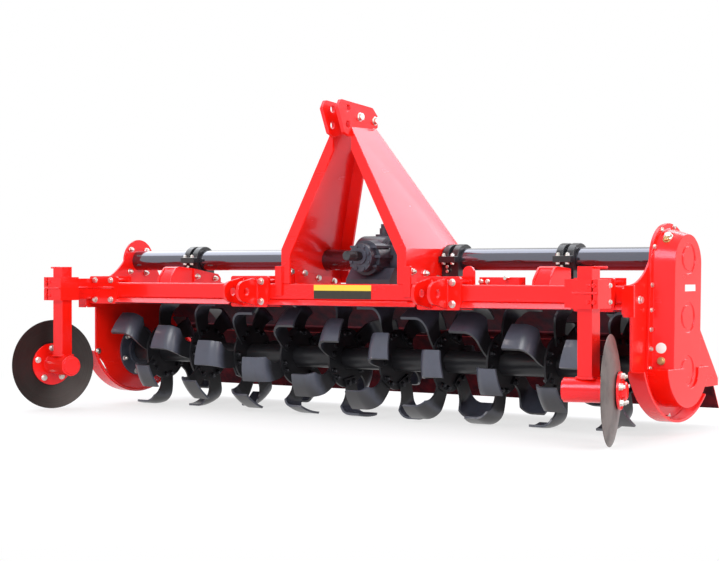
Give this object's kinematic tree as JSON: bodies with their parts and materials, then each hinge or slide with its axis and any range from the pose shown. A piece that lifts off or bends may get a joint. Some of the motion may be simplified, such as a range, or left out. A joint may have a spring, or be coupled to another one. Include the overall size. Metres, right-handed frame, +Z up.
{
  "type": "rotary tiller",
  "caption": "Three-point mounted rotary tiller with a bladed rotor under a sloped hood, folded mast, side gear drive, front discs and a hinged rear board.",
  "frame": {"origin": "on the floor under the middle of the machine's bounding box", "axes": "+X across the machine to the side of the gear drive, -Y to the tractor, +Z up"},
  "size_m": [2.5264, 1.028, 1.1215],
  "materials": {
    "red_paint": "glossy red enamel",
    "black_paint": "semi-gloss black enamel",
    "machined_steel": "turned bare steel with a film of oil",
    "disc_steel": "dark rolled steel, dull and slightly brown"
  },
  "bodies": {
    "frame": {"board_hinge": "machined_steel", "case_guard": "red_paint", "clamp_gussets": "red_paint", "cross_tube_left": "black_paint", "cross_tube_right": "black_paint", "disc_arm_left": "red_paint", "disc_arm_right": "red_paint", "disc_post_left": "red_paint", "disc_post_right": "red_paint", "drive_case": "red_paint", "front_beam": "red_paint", "gearbox_cover": "black_paint", "gearbox_filler": "black_paint", "gearbox_housing": "black_paint", "hood": "red_paint", "lower_hitch_left": "red_paint", "lower_hitch_right": "red_paint", "mast_leg_left": "red_paint", "mast_leg_right": "red_paint", "mast_rails": "red_paint", "rotor_bearing_left": "red_paint", "rotor_bearing_right": "red_paint", "side_plate_left": "red_paint", "side_plate_right": "red_paint", "skid_left": "red_paint", "skid_right": "red_paint", "top_hitch": "red_paint", "tube_clamps": "black_paint"},
    "rotor": {"rotor_tube": "black_paint", "blade_set_01": "black_paint", "blade_set_02": "black_paint", "blade_set_03": "black_paint", "blade_set_04": "black_paint", "blade_set_05": "black_paint", "blade_set_06": "black_paint", "blade_set_07": "black_paint", "blade_set_08": "black_paint", "blade_set_09": "black_paint", "blade_set_10": "black_paint"},
    "input_shaft": {"pto_shaft": "machined_steel"},
    "left_disc": {"disc_left": "disc_steel", "disc_hub_left": "red_paint"},
    "right_disc": {"disc_right": "disc_steel", "disc_hub_right": "red_paint"},
    "board": {"rear_board": "red_paint"}
  },
  "joints": [
    {"name": "rotor_spin", "type": "hinge", "parent": "frame", "child": "rotor", "pos_m": [0.06203, 0.07455, 0.211], "axis": [1, 0, 0], "continuous": true},
    {"name": "input_spin", "type": "hinge", "parent": "frame", "child": "input_shaft", "pos_m": [0.06203, -0.15645, 0.582], "axis": [0, -1, 0], "continuous": true},
    {"name": "left_disc_spin", "type": "hinge", "parent": "frame", "child": "left_disc", "pos_m": [-1.12697, -0.37345, 0.17], "axis": [-0.9483, 0.3173, 0], "continuous": true},
    {"name": "right_disc_spin", "type": "hinge", "parent": "frame", "child": "right_disc", "pos_m": [1.14403, -0.37345, 0.17], "axis": [0.9483, 0.3173, 0], "continuous": true},
    {"name": "board_swing", "type": "hinge", "parent": "frame", "child": "board", "pos_m": [0.06203, 0.33855, 0.302], "axis": [1, 0, 0], "range_deg": [0, 50]}
  ],
  "couplings": [
    {"joint": "input_spin", "follows": "rotor_spin", "ratio": 2.5}
  ]
}
